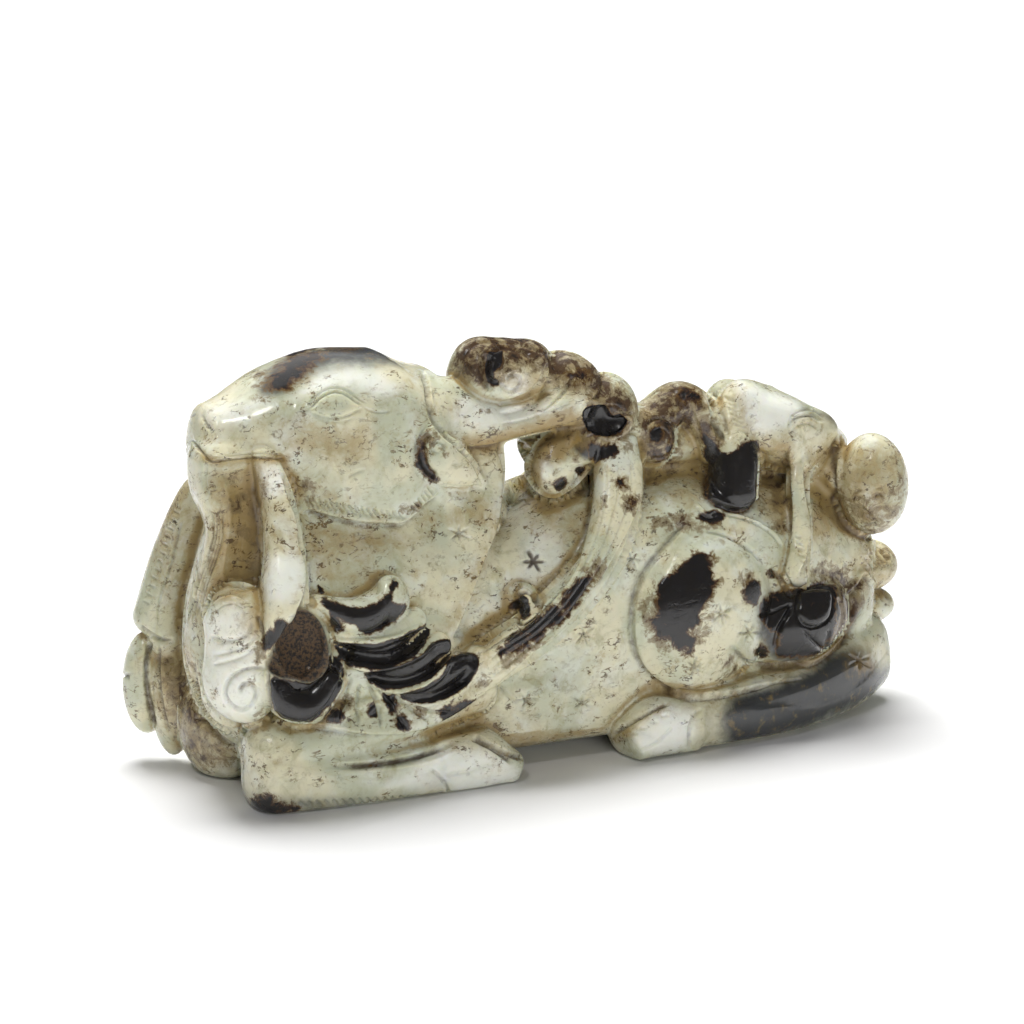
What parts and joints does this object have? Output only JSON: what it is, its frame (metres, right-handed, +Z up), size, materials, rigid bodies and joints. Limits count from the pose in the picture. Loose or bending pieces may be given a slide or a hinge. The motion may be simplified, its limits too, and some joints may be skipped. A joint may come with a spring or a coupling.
{
  "type": "jade animal group carving",
  "caption": "Recumbent deer with a fungus spray in its mouth and a boy lying over its rump, carved from one jade pebble.",
  "frame": {"origin": "middle of the carving's bounding box, on the plane that it stands on", "axes": "+X from the deer's nose to its rump, -Y toward the side with the fungus spray, +Z up"},
  "size_m": [0.113, 0.0389, 0.0587],
  "materials": {
    "jade": "polished celadon nephrite with brown-black skin patches and brown staining in the cuts"
  },
  "bodies": {
    "root": {"deer_and_boy_carving": "jade"}
  },
  "joints": []
}
